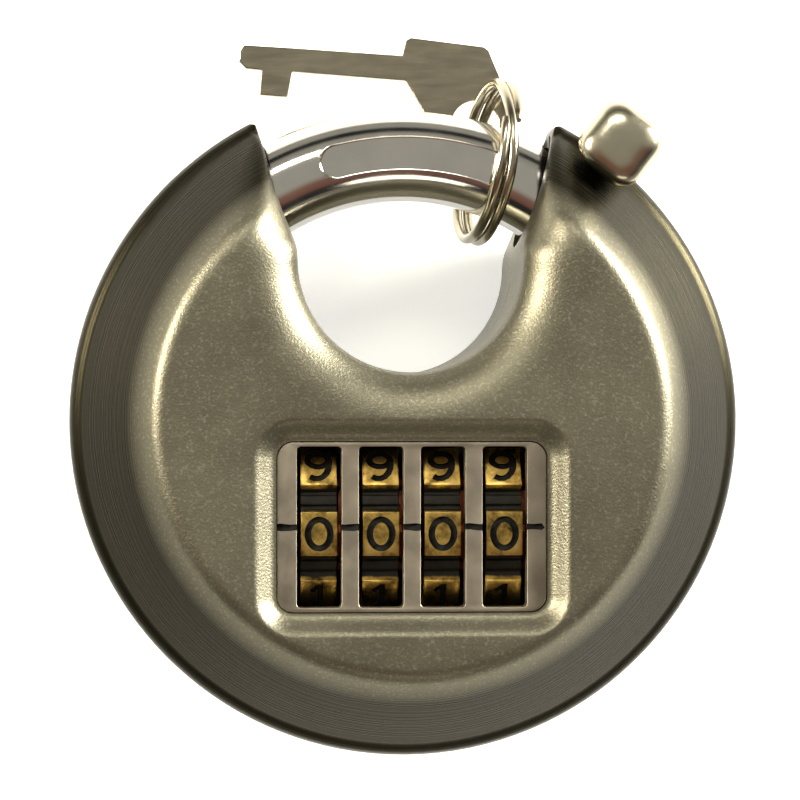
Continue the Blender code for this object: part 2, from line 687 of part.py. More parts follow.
def detent_spring():
    """Leaf spring under the wheels: a strip with a finger for each sleeve."""
    bm = bmesh.new()
    box(bm, -12.6, 12.6, -6.0, -4.6, 3.2, 3.55)
    ob = new_object("detent_spring", bm, SPRING, 1.0, 0.3)
    for k in range(4):
        x = wheel_x(k) + WHEEL_W / 2 + 0.9
        bm = bmesh.new()
        side = [(-5.1, 3.25), (-5.1, 3.6), (-7.6, 5.4), (-9.9, 7.2), (-10.7, 7.5), (-11.5, 7.2), (-12.1, 6.8),
                (-12.1, 6.4), (-11.5, 6.8), (-10.7, 7.1), (-9.9, 6.8), (-7.6, 5.0)]
        a = [bm.verts.new((x - 0.5, p, q)) for p, q in side]
        b = [bm.verts.new((x + 0.5, p, q)) for p, q in side]
        bm.faces.new(a[::-1])
        bm.faces.new(b)
        for i in range(len(a)):
            j = (i + 1) % len(a)
            bm.faces.new((a[i], a[j], b[j], b[i]))
        bmesh.ops.triangulate(bm, faces=bm.faces)
        boolean(ob, bm, "UNION")
    return ob


def fence_bar():
    """Bar with four teeth that drop into the sleeves' gates."""
    bm = bmesh.new()
    box(bm, -13.1, 13.1, 2.3, 3.6, WHEEL_Z - 2.2, WHEEL_Z + 2.2)
    ob = new_object("fence_bar", bm, ZINC, 0.9, 0.4)
    for k in range(4):
        x = wheel_x(k) + WHEEL_W / 2 + 0.9
        bm = bmesh.new()
        box(bm, x - 0.45, x + 0.45, WHEEL_Y + 7.3, 2.6, WHEEL_Z - 0.3, WHEEL_Z + 0.3)
        boolean(ob, bm, "UNION")
    return ob


def fence_springs():
    for k, x in enumerate((-10.5, 10.5)):
        bm = bmesh.new()
        coil(bm, (x, 4.15, WHEEL_Z), (0, 1, 0), 3.1, 1.2, 0.2, 3.0, 6, 9)
        new_object(f"fence_spring_{k + 1}", bm, SPRING, 1.0, 0.3)


BOLT_ANGLE = 32.0


def locking_bolt():
    """Sliding bolt that enters the notch on the inner side of the shackle."""
    bm = bmesh.new()
    box(bm, 15.8, 22.2, -1.25, 1.25, MID - 2.4, MID + 2.4)
    for v in bm.verts:
        v.co = Matrix.Rotation(math.radians(BOLT_ANGLE), 4, "Z") @ v.co
    ob = new_object("locking_bolt", bm, BRIGHT, 1.0, 0.3)
    bm = bmesh.new()
    lathe(bm, [(0, 15.0), (1.0, 15.0), (1.0, 18.2), (0, 18.2)], 14, (0, 0, 0), "X")
    for v in bm.verts:
        v.co = Matrix.Rotation(math.radians(BOLT_ANGLE), 4, "Z") @ (v.co + Vector((0, 0, MID)))
    boolean(ob, bm)
    return ob


def bolt_spring():
    bm = bmesh.new()
    d = polar(1.0, BOLT_ANGLE)
    coil(bm, (14.9 * d[0], 14.9 * d[1], MID), (d[0], d[1], 0), 2.9, 0.62, 0.16, 4.0, 6, 9)
    return new_object("bolt_spring", bm, SPRING, 1.0, 0.3)


def axle_spring():
    bm = bmesh.new()
    coil(bm, (-12.75, WHEEL_Y, WHEEL_Z), (1, 0, 0), 0.9, 2.2, 0.18, 2.0, 6, 12)
    return new_object("axle_spring", bm, SPRING, 1.0, 0.3)


def reset_plug():
    """Turning plug with the keyhole for the reset key, in the back face."""
    x, y = PLUG
    bm = bmesh.new()
    prof = [(0, 0.35), (3.7, 0.35), (4.0, 0.65), (4.0, 2.2), (3.4, 2.2), (3.4, 6.0), (2.6, 6.0), (2.6, 7.6), (0, 7.6)]
    lathe(bm, prof, 28, (x, y, 0))
    ob = new_object("reset_plug", bm, BRASS, 1.0, 0.35, (x, y, 0))
    bm = bmesh.new()
    box(bm, x - 0.75, x + 0.75, y - 2.2, y + 2.2, -1, 5.0)
    boolean(ob, bm)
    bm = bmesh.new()
    box(bm, x - 3.0, x + 3.0, y + 1.0, y + 2.9, 6.4, 9.4)
    lathe_cut = bm
    boolean(ob, lathe_cut, "UNION")
    return ob


def plug_clip():
    x, y = PLUG
    bm = bmesh.new()
    out = [polar(4.7, 40 + 280 * k / 16) for k in range(17)] + [polar(3.65, 320 - 280 * k / 16) for k in range(17)]
    prism(bm, [(x + p, y + q) for p, q in out], 2.5, 3.1)
    return new_object("plug_clip", bm, SPRING, 1.0, 0.3)


# ---------------------------------------------------------------- ring and key
RING_U = Vector((0.174, 0.985, 0.0)).normalized()
RING_N = Vector((0.985, -0.174, -0.17)).normalized()
RING_V = RING_N.cross(RING_U).normalized()
RING_AT = Vector((9.04, 27.5, 11.75))


def key_ring():
    """Split ring: two turns of wire side by side, joined where one crosses to the other."""
    bm = bmesh.new()
    n = 84
    pts = []
    for k in range(n + 1):
        a = 2 * math.pi * 2 * k / n + math.radians(60)
        f = k / n
        side = -0.6 + 1.2 * smooth((f - 0.44) / 0.12)
        pts.append(RING_AT + RING_R * (math.cos(a) * RING_U + math.sin(a) * RING_V) + RING_N * side)
    tube(bm, pts, RING_WIRE, 8)
    return new_object("key_ring", bm, BRIGHT, 1.0, 0.2, tuple(RING_AT))


def reset_key():
    """Flat key threaded on the ring: its bow rests on the ring, its nose on the ground."""
    bm = bmesh.new()
    out = [(-17.15, 40.3), (-16.6, 41.1), (-11.2, 40.7), (0.6, 39.75), (1.0, 41.4), (1.5, 41.7), (9.4, 40.6),
           (9.9, 40.2), (11.5, 36.2), (12.9, 32.8), (12.7, 31.8), (9.4, 27.8), (8.2, 27.3), (4.8, 29.6), (2.9, 33.4),
           (0.95, 36.95), (-11.4, 38.1), (-11.9, 35.3), (-14.9, 35.55), (-14.7, 38.3), (-16.4, 38.5), (-17.2, 39.3)]
    prism(bm, out, 0.0, KEY_T)
    ob = new_object("reset_key", bm, (0.55, 0.52, 0.45), 1.0, 0.3)
    bm = bmesh.new()
    lathe(bm, [(0, -2), (2.5, -2), (2.5, 8), (0, 8)], 24, (*KEY_HOLE, 0))
    boolean(ob, bm)
    # lean: the plate drops along its length, from the ring to the ground
    for v in ob.data.vertices:
        x, y = v.co.x / MM - KEY_HOLE[0], v.co.y / MM - KEY_HOLE[1]
        v.co.z += (KEY_Z + KEY_LEAN * (0.949 * x - 0.316 * y)) * MM
    o = Vector((*KEY_HOLE, KEY_Z)) * MM
    for v in ob.data.vertices:
        v.co -= o
    ob.location = o
    return ob


front_shell()
back_shell()
window_plate()
shackle()
shackle_knob()
knob_screw()
shackle_guide()
tip_socket()
chassis()
chassis_screws()
fence_guides()
wheel_axle()
axle_clip()
for k in range(4):
    number_wheel(k)
    wheel_sleeve(k)
detent_spring()
fence_bar()
fence_springs()
locking_bolt()
bolt_spring()
axle_spring()
reset_plug()
plug_clip()
key_ring()
reset_key()
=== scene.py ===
"""Looks of a disc padlock with four number wheels, a reset key and a split ring."""
import math

import bmesh
import bpy
import numpy as np
from mathutils import Matrix, Vector


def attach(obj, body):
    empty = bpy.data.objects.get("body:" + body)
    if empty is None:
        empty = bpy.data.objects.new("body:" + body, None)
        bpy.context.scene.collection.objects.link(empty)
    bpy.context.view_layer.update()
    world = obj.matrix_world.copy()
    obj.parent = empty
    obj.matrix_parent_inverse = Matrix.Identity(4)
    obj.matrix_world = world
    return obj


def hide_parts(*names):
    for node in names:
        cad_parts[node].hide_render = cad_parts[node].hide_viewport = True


bl_info = {
    "name": "Disc padlock",
    "version": (1, 0, 0),
    "blender": (4, 5, 0),
    "location": "View3D > Sidebar > Padlock",
    "description": "Builds the visible pieces of a disc padlock round its packed frame",
    "category": "Object",
}

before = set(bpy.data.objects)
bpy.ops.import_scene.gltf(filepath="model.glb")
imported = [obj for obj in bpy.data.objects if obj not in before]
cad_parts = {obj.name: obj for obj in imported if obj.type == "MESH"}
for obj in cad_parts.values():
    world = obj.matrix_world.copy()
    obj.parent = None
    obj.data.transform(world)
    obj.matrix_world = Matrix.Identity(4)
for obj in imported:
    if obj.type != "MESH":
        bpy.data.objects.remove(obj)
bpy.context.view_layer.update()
MM = 0.001

# driving sizes of the lock, in millimetres and degrees
MID = 14.0                      # height of the plane where the two shells meet
DISC_RADIUS = 35.0
SHEET = 1.2                     # thickness of the shells' steel
THROAT_RADIUS = 11.5            # the throat's round bottom
THROAT_Y = 16.5                 # centre of that round
BAR_ARC = 27.85                 # radius of the shackle's centre line about the disc's axis
BAR_RADIUS = 4.8
PANEL_HALF = 1.9                # half width of the shackle's panel
BAR_ROUND = 0.8                 # rounding of the bar's two ends
RECESS = (27.6, 17.5, 1.8)      # floor of the window recess: width, height, corner radius
FACE = 28.0                     # height of the front face
WHEEL_CENTRE = (-10.7, 14.8)
WHEEL_PITCH = 6.28
WHEEL_HALF = 1.86               # half width of a wheel
WHEEL_BORE = 4.3
LAND_RADIUS = 11.4
LAND_HALF = 2.25                # half length of a land, round the wheel
WHEEL_REST = 3.5                # degrees the digits stand past the index line
KNOB_ANGLE = 52.3
PLUG = (-20.1, -4.8)
PLUG_HOLE = 4.2
KEY_HOLE = (8.4, 32.2)
CUT_DEEP = (20.0, 30.0)         # heights a cutter spans to go right through the front

# band of a shell: radius, height above the mid-plane
BAND = np.array([(20.0, 19.0), (25.2, 14.75), (26.2, 13.7), (27.0, 12.7), (33.5, 4.6), (33.8, 4.2),
                 (34.2, 3.95), (34.6, 3.6), (34.9, 3.1), (DISC_RADIUS, 2.6)])
# points along a shell's face: from the rim inwards by radius, and from the throat outwards by distance
FROM_RIM = [DISC_RADIUS, 34.93, 34.8, 34.6, 34.4, 34.2, 34.0, 33.8, 33.6, 33.3, 32.4, 31.2, 30.0, 28.8, 27.8,
            27.2, 26.8, 26.5, 26.2, 25.9, 25.6, 25.3, 25.0, 24.6]
FROM_THROAT = [0, 0.06, 0.18, 0.36, 0.6, 0.95, 1.35, 1.8, 2.4, 3.1, 3.8, 4.6, 5.4, 6.2]
# right edge of the mouth, from the throat's widest point to the tip of the horn
MOUTH = np.array([(THROAT_RADIUS, THROAT_Y), (11.66, 18.0), (12.2, 19.6), (12.9, 21.4), (13.6, 23.4),
                  (14.25, 25.8), (14.85, 28.0), (15.4, 30.0), (15.7, 30.8)])


# ---------------------------------------------------------------- colours and nodes
def linear(hex_colour):
    """An sRGB hex colour as linear red, green, blue and alpha."""
    c = [int(hex_colour[i:i + 2], 16) / 255 for i in (1, 3, 5)]
    return (*[v / 12.92 if v <= 0.04045 else ((v + 0.055) / 1.055) ** 2.4 for v in c], 1.0)


def add(tree, kind, settings=None, links=None):
    """Adds a node. Settings are properties or input values, links are input name to output socket."""
    n = tree.nodes.new("ShaderNode" + kind)
    for key, value in (settings or {}).items():
        if isinstance(key, str) and hasattr(n, key):
            setattr(n, key, value)
        else:
            n.inputs[key].default_value = value
    for key, socket in (links or {}).items():
        tree.links.new(socket, n.inputs[key])
    return n


def new_material(name, colour, metallic, roughness, **sockets):
    """A material with its shader's own values set, ready for pattern nodes."""
    m = bpy.data.materials.new(name)
    m.use_nodes = True
    shader = m.node_tree.nodes["Principled BSDF"]
    shader.inputs["Base Color"].default_value = colour
    shader.inputs["Metallic"].default_value = metallic
    shader.inputs["Roughness"].default_value = roughness
    for key, value in sockets.items():
        shader.inputs[key.replace("_", " ")].default_value = value
    return m, m.node_tree, shader


def ramp(tree, factor, stops):
    """A colour ramp from (position, grey or colour) stops."""
    n = add(tree, "ValToRGB", links={"Fac": factor})
    while len(n.color_ramp.elements) < len(stops):
        n.color_ramp.elements.new(0.5)
    for e, (at, colour) in zip(n.color_ramp.elements, stops):
        e.position = at
        e.color = colour if isinstance(colour, tuple) else (colour, colour, colour, 1.0)
    return n.outputs["Color"]


def radius_from(tree, coords, centre, plane):
    """Distance in millimetres from an axis through the centre, with plane the two letters across it."""
    at = add(tree, "Mapping", {"Location": [-c * MM for c in centre]}, {"Vector": coords})
    parts = add(tree, "SeparateXYZ", links={0: at.outputs[0]})
    a = add(tree, "Math", {"operation": "POWER", 1: 2.0}, {0: parts.outputs[plane[0]]})
    b = add(tree, "Math", {"operation": "POWER", 1: 2.0}, {0: parts.outputs[plane[1]]})
    both = add(tree, "Math", {"operation": "ADD"}, {0: a.outputs[0], 1: b.outputs[0]})
    root = add(tree, "Math", {"operation": "SQRT"}, {0: both.outputs[0]})
    return add(tree, "Math", {"operation": "MULTIPLY", 1: 1000.0}, {0: root.outputs[0]}).outputs[0]


def bead_blasted_stainless(colours):
    """Stainless sheet. The blasted flat has a fine even grain and painted glints, and the turned band has
    lines round it and a darker colour that is painted shade.
    """
    m, t, s = new_material("bead_blasted_stainless", colours.shell, 1.0, 0.34)
    xyz = add(t, "TexCoord").outputs["Object"]
    # the blast's grain is 0.24 mm, coarser than the real one so that it shows, and stains are 11 mm across
    grain = add(t, "TexNoise", {"Scale": 4200.0, "Detail": 2.0}, {"Vector": xyz})
    cloud = add(t, "TexNoise", {"Scale": 90.0, "Detail": 5.0, "Roughness": 0.65}, {"Vector": xyz})
    # lines round the band, 0.11 mm apart: noise that only changes with the distance from the disc's axis
    r = radius_from(t, xyz, (0, 0, 0), "XY")
    rings = add(t, "TexNoise", {"noise_dimensions": "1D", "Scale": 9.0, "Detail": 4.0}, {"W": r})
    on_band = add(t, "MapRange", {"From Min": 26.3, "From Max": 28.9}, {"Value": r}).outputs["Result"]
    flat = ramp(t, cloud.outputs["Fac"], [(0.3, 0.86), (0.7, 1.0)])
    # painted shade: the band gets a far darker colour than the flat, though it is the same steel, and the
    # lines round it vary that colour
    band_rings_and_painted_shade = ramp(t, rings.outputs["Fac"], [(0.3, linear("#504E46")), (0.7, linear("#67645A"))])
    zone = add(t, "Mix", {"data_type": "RGBA"}, {0: on_band, 6: flat, 7: band_rings_and_painted_shade})
    tint = add(t, "Mix", {"data_type": "RGBA", "blend_type": "MULTIPLY", 0: 1.0, 6: colours.shell},
               {7: zone.outputs[2]})
    # painted glints: bright points about 0.3 mm apart are mixed into the flat's colour, standing in for the
    # sparkle of the blasted facets
    glint_noise = add(t, "TexNoise", {"Scale": 3300.0, "Detail": 1.0}, {"Vector": xyz})
    painted_glint_strength = add(t, "MapRange", {"From Min": 0.54, "From Max": 0.74, "To Max": 0.15},
              {"Value": glint_noise.outputs["Fac"]})
    off_band = add(t, "Math", {"operation": "SUBTRACT", 0: 1.0}, {1: on_band})
    painted_glints_on_flat = add(t, "Math", {"operation": "MULTIPLY"}, {0: painted_glint_strength.outputs[0], 1: off_band.outputs[0]})
    colour_with_painted_glints = add(t, "Mix", {"data_type": "RGBA", 7: linear("#E4DFCC")},
                {0: painted_glints_on_flat.outputs[0], 6: tint.outputs[2]})
    t.links.new(colour_with_painted_glints.outputs[2], s.inputs["Base Color"])
    rough_flat = add(t, "MapRange", {"From Min": 0.3, "From Max": 0.7, "To Min": 0.39, "To Max": 0.47},
                     {"Value": cloud.outputs["Fac"]})
    rough_band = add(t, "MapRange", {"From Min": 0.3, "From Max": 0.7, "To Min": 0.24, "To Max": 0.36},
                     {"Value": rings.outputs["Fac"]})
    rough = add(t, "Mix", links={0: on_band, 2: rough_flat.outputs[0], 3: rough_band.outputs[0]})
    t.links.new(rough.outputs[0], s.inputs["Roughness"])
    height = add(t, "Mix", links={0: on_band, 2: grain.outputs["Fac"], 3: rings.outputs["Fac"]})
    bump = add(t, "Bump", {"Strength": 0.55, "Distance": 0.00006}, {"Height": height.outputs[0]})
    t.links.new(bump.outputs[0], s.inputs["Normal"])
    return m


def worn_metal(name, colour, roughness, spread=0.08, scale=120.0, grain=0.0, stretch=(1, 1, 1), dark=0.8):
    """A plated or plain metal with faint stains and, where grain is set, lines of wear along one way."""
    m, t, s = new_material(name, colour, 1.0, roughness)
    xyz = add(t, "TexCoord").outputs["Object"]
    place = add(t, "Mapping", {"Scale": stretch}, {"Vector": xyz})
    stain = add(t, "TexNoise", {"Scale": scale, "Detail": 6.0, "Roughness": 0.6},
                {"Vector": place.outputs[0]})
    shade = ramp(t, stain.outputs["Fac"], [(0.3, dark), (0.62, 1.0)])
    tint = add(t, "Mix", {"data_type": "RGBA", "blend_type": "MULTIPLY", 0: 1.0, 6: colour}, {7: shade})
    t.links.new(tint.outputs[2], s.inputs["Base Color"])
    rough = add(t, "MapRange", {"From Min": 0.3, "From Max": 0.7, "To Min": roughness,
                                "To Max": roughness + spread}, {"Value": stain.outputs["Fac"]})
    t.links.new(rough.outputs[0], s.inputs["Roughness"])
    if grain:
        fine = add(t, "TexNoise", {"Scale": scale * 14, "Detail": 2.0}, {"Vector": place.outputs[0]})
        bump = add(t, "Bump", {"Strength": grain, "Distance": 0.00003}, {"Height": fine.outputs["Fac"]})
        t.links.new(bump.outputs[0], s.inputs["Normal"])
    return m


def aged_brass_wheel(name, centre_x, colours):
    """Cast brass, blackened and rubbed back, so the lands are bright and the grooves between them black."""
    m, t, s = new_material(name, colours.brass, 1.0, 0.36)
    xyz = add(t, "TexCoord").outputs["Object"]
    r = radius_from(t, xyz, (centre_x, *WHEEL_CENTRE), "YZ")
    # patches of black left in the casting's skin, 2.4 mm across
    patch = add(t, "TexNoise", {"Scale": 420.0, "Detail": 6.0, "Roughness": 0.7}, {"Vector": xyz})
    wobble = add(t, "Math", {"operation": "MULTIPLY_ADD", 1: 0.5, 2: -0.25}, {0: patch.outputs["Fac"]})
    edge = add(t, "Math", {"operation": "ADD"}, {0: r, 1: wobble.outputs[0]})
    # the rubbing reaches the lands and stops above the ribs in the grooves
    on_land = add(t, "MapRange", {"From Min": 10.95, "From Max": 11.2},
                  {"Value": edge.outputs[0]}).outputs["Result"]
    tone = ramp(t, patch.outputs["Fac"], [(0.34, linear("#4A3B1E")), (0.54, tuple(colours.brass)),
                                          (0.72, linear("#D9BE78"))])
    mix = add(t, "Mix", {"data_type": "RGBA", 6: linear("#33322F")}, {0: on_land, 7: tone})
    t.links.new(mix.outputs[2], s.inputs["Base Color"])
    rough = add(t, "MapRange", {"To Min": 0.62, "To Max": 0.34}, {"Value": on_land})
    t.links.new(rough.outputs[0], s.inputs["Roughness"])
    bump = add(t, "Bump", {"Strength": 0.5, "Distance": 0.00006}, {"Height": patch.outputs["Fac"]})
    t.links.new(bump.outputs[0], s.inputs["Normal"])
    return m


def black_fill():
    """Black wax wiped into the cut digits and the index line: matt, with hardly a highlight."""
    m, t, s = new_material("black_wax_fill", linear("#0C0B0A"), 0.0, 0.75, Specular_IOR_Level=0.12)
    xyz = add(t, "TexCoord").outputs["Object"]
    n = add(t, "TexNoise", {"Scale": 1500.0}, {"Vector": xyz})
    shade = ramp(t, n.outputs["Fac"], [(0.3, linear("#0B0B0A")), (0.7, linear("#22211E"))])
    t.links.new(shade, s.inputs["Base Color"])
    return m


# ---------------------------------------------------------------- shapes
# the knob's sections: height above the mid-plane, inner and outer radius, clockwise and anticlockwise side,
# corner radius
KNOB = [(-2.6, 36.4, 39.2, -3.3, 3.5, 1.2), (-2.2, 35.9, 39.8, -3.8, 4.0, 1.6),
        (-1.0, 35.7, 40.1, -4.0, 4.3, 1.9), (3.2, 35.7, 40.2, -3.9, 4.4, 2.1),
        (5.4, 34.1, 40.1, -3.7, 4.3, 2.2), (7.4, 32.5, 39.9, -3.6, 4.0, 2.2),
        (8.3, 32.4, 39.7, -3.5, 3.7, 2.2), (8.95, 32.8, 39.2, -3.1, 3.2, 2.1),
        (9.35, 33.5, 38.5, -2.4, 2.5, 1.8), (9.58, 34.3, 37.6, -1.6, 1.7, 1.2),
        (9.7, 35.3, 36.6, -0.6, 0.7, 0.5)]


def polar(r, deg):
    """The point at a radius and an angle."""
    return r * math.cos(math.radians(deg)), r * math.sin(math.radians(deg))


def deselect():
    """Leaves edit mode and selects nothing."""
    if bpy.context.object and bpy.context.object.mode != "OBJECT":
        bpy.ops.object.mode_set(mode="OBJECT")
    bpy.ops.object.select_all(action="DESELECT")


def select_only(ob):
    """Makes one object the selected and active one."""
    deselect()
    ob.select_set(True)
    bpy.context.view_layer.objects.active = ob


def from_faces(name, points, faces):
    """A mesh object from points in millimetres."""
    me = bpy.data.meshes.new(name)
    me.from_pydata([[c * MM for c in p] for p in points], [], faces)
    me.update()
    ob = bpy.data.objects.new(name, me)
    bpy.context.collection.objects.link(ob)
    bm = bmesh.new()
    bm.from_mesh(me)
    bmesh.ops.remove_doubles(bm, verts=bm.verts, dist=1e-8)
    bmesh.ops.recalc_face_normals(bm, faces=bm.faces)
    bm.to_mesh(me)
    bm.free()
    select_only(ob)
    return ob


def loft(name, outlines):
    """A closed solid through a list of outlines of (x, y, z), with flat ends."""
    n = len(outlines[0])
    points = [p for o in outlines for p in o]
    faces = [tuple(range(n))[::-1], tuple(range((len(outlines) - 1) * n, len(outlines) * n))]
    for k in range(len(outlines) - 1):
        for i in range(n):
            j = (i + 1) % n
            faces.append((k * n + i, k * n + j, (k + 1) * n + j, (k + 1) * n + i))
    return from_faces(name, points, faces)


def circle(r, count):
    """Evenly spaced points on a circle round the origin."""
    return [polar(r, 360 * k / count) for k in range(count)]


def between(table, at, k):
    """The smooth curve through a table's rows: its value at a share of the way past row k."""
    p = [table[min(max(k + q, 0), len(table) - 1)] for q in (-1, 0, 1, 2)]
    a, b, c = p[2] - p[0], 2 * p[0] - 5 * p[1] + 4 * p[2] - p[3], 3 * p[1] - p[0] - 3 * p[2] + p[3]
    return 0.5 * (2 * p[1] + a * at + b * at * at + c * at ** 3), 0.5 * (a + 2 * b * at + 3 * c * at * at)


def rounded(w, h, r, cx=0.0, cy=0.0, z=0.0, n=8):
    """A rectangle with rounded corners, as (x, y, z) points."""
    out = []
    for sx, sy, a0 in ((1, 1, 0), (-1, 1, 90), (-1, -1, 180), (1, -1, 270)):
        for k in range(n + 1):
            x, y = polar(r, a0 + 90 * k / n)
            out.append((cx + sx * (w / 2 - r) + x, cy + sy * (h / 2 - r) + y, z))
    return out


def combine(ob, other, operation="DIFFERENCE"):
    """Cuts the other solid out of the piece, or joins it, and removes the other."""
    select_only(ob)
    m = ob.modifiers.new("cut", "BOOLEAN")
    m.operation, m.solver, m.object = operation, "EXACT", other
    if other.data.materials:
        m.material_mode = "TRANSFER"
    bpy.ops.object.modifier_apply(modifier=m.name)
    bpy.data.objects.remove(other, do_unlink=True)


def bevel(ob, width, segments, angle=30):
    """Rounds every edge sharper than the angle, as a modifier applied at once."""
    select_only(ob)
    m = ob.modifiers.new("edge", "BEVEL")
    m.width, m.segments, m.angle_limit = width * MM, segments, math.radians(angle)
    bpy.ops.object.modifier_apply(modifier=m.name)


def settle(ob, body, material, replaces, smooth=35):
    """Applies the place, sets smooth shading and the material, and ties the piece to its body."""
    select_only(ob)
    bpy.ops.object.transform_apply(location=True, rotation=True, scale=True)
    bpy.ops.object.shade_smooth_by_angle(angle=math.radians(smooth))
    if material is not None:
        ob.data.materials.clear()
        ob.data.materials.append(material)
    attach(ob, body)
    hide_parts(*replaces)


def swept(name, points, radii, sides):
    """A round wire along points, with flat ends and a radius for each point."""
    rings, up = [], None
    for k, (p, radius) in enumerate(zip(points, radii)):
        t = (points[min(k + 1, len(points) - 1)] - points[max(k - 1, 0)]).normalized()
        up = t.orthogonal().normalized() if up is None else (up - t * up.dot(t)).normalized()
        side = t.cross(up)
        turns = [2 * math.pi * i / sides for i in range(sides)]
        rings.append([p + radius * (math.cos(a) * up + math.sin(a) * side) for a in turns])
    return loft(name, rings)


# ---------------------------------------------------------------- casing shells
def throat_curve(offset):
    """Right half of the throat's edge from its bottom to the horn's tip, moved outwards by the offset."""
    round_steps, mouth_steps = 44, 40
    turns = [-90 + 90 * k / round_steps for k in range(round_steps)]
    pts = [(x, y + THROAT_Y) for x, y in (polar(THROAT_RADIUS + offset, a) for a in turns)]
    for k in range(mouth_steps + 1):
        s = (len(MOUTH) - 1) * k / mouth_steps
        i = min(int(s), len(MOUTH) - 2)
        at, way = between(MOUTH, s - i, i)
        if k == 0:
            way = np.array((0.0, 1.0))
        way = way / np.linalg.norm(way)
        pts.append((at[0] + offset * way[1], at[1] - offset * way[0]))
    return pts


def roof(x, y):
    """Height of the tunnel over the bar at the mouth, or 0."""
    bore = 6.1
    d = math.hypot(x, y) - BAR_ARC
    return math.sqrt(bore ** 2 - d * d) if y >= 17.0 and abs(d) < bore else 0.0


def ease(x):
    """A smooth step from 0 to 1."""
    x = min(max(x, 0.0), 1.0)
    return x * x * (3 - 2 * x)


def soft_min(a, b, k):
    """The lower of two heights, with the meeting rounded over k."""
    h = max(k - abs(a - b), 0.0) / k
    return min(a, b) - h * h * k * 0.25


def stations(rim_at, throat_at, off):
    """Shares of the way from the rim to the throat's edge at which a column has its points."""
    (ox, oy), (px, py) = rim_at, throat_at
    rim = DISC_RADIUS - off
    length = math.hypot(px - ox, py - oy)
    dx, dy = (px - ox) / length, (py - oy) / length
    b = ox * dx + oy * dy
    out = []
    for r in FROM_RIM:
        inset = r - off * (1.0 if r > 34 else 0.9)
        root = b * b - (rim * rim - inset * inset)
        out.append((-b - math.sqrt(root)) / length if root > 0 else 9.0)
    out[0] = 0.0
    most_out, most_back = 0.6, 0.36
    if max(out) > most_out:
        # a short column near a horn: the stations are spread over a share of it
        out = [most_out * (DISC_RADIUS - r) / (DISC_RADIUS - FROM_RIM[-1]) for r in FROM_RIM]
    qy = py - THROAT_Y
    slant = max(0.35, abs((dx * px + dy * qy) / max(1e-6, math.hypot(px, qy))))
    back = [d / (length * slant) for d in FROM_THROAT]
    if back[-1] > most_back:
        back = [d * most_back / back[-1] for d in back]
    middle = [out[-1] + (1 - back[-1] - out[-1]) * k / 7 for k in range(1, 7)]
    return out + middle + [1 - d for d in reversed(back)]


def column(rim_at, throat_at, edge, off):
    """One column of a shell's face from the rim to the throat's edge, as (x, y, height) points."""
    (ox, oy), (px, py) = rim_at, throat_at
    arch = roof(abs(px), py)
    # the rolled edge of the throat starts at the lip. Towards the horns the lip is lower and the roll tighter
    flank = 10.0
    lip = flank + (min(flank, max(arch + 0.9, 3.4)) - flank) * ease((py - THROAT_Y) / 7.5)
    roll = 5.6 - 2.6 * ease((py - 19.0) / 10.0)
    if off:
        lip -= 0.5
        roll = max(roll - off, 0.6)
    points = []
    for t in stations(rim_at, throat_at, off):
        x, y = ox + (px - ox) * t, oy + (py - oy) * t
        near = float(np.min(np.hypot(edge[:, 0] - x, edge[:, 1] - y)))
        band = float(np.interp(math.hypot(x, y) + (1.3 if off else 0.0), BAND[:, 0], BAND[:, 1]))
        flat = soft_min(band, MID - off, 1.0)
        q = min(near / roll, 1.0)
        z = flat if flat < lip else lip + (flat - lip) * math.sqrt(max(0.0, 1 - (1 - q) ** 2))
        points.append((x, y, z))
    points[-1] = (x, y, max(min(z, max(band, arch + 0.3)), arch + 0.3))
    return points


def column_ends(off):
    """Where the columns of a face start at the rim and end at the throat, and the throat's whole edge."""
    edge = throat_curve(off)
    if off:
        # the inner face ends short of the horn's tip, with as many points as the outer one
        count = len(edge)
        edge = [p for p in edge if math.hypot(*p) < 32.3]
        while len(edge) < count:
            edge.insert(-1, tuple((np.array(edge[-2]) + np.array(edge[-1])) / 2))
    whole = np.array([(-x, y) for x, y in edge[:0:-1]] + edge)
    lengths = np.concatenate([[0], np.cumsum(np.linalg.norm(np.diff(np.array(edge), axis=0), axis=1))])
    last = math.degrees(math.atan2(edge[-1][1], edge[-1][0])) - (1.2 if off else 0.9)
    turns = [-90 + (last + 90) * (1 - (1 - s / lengths[-1]) ** 1.5) for s in lengths]
    right = [(polar(DISC_RADIUS - off, a), p) for a, p in zip(turns, edge)]
    return [((-o[0], o[1]), (-p[0], p[1])) for o, p in right[:0:-1]] + right, whole


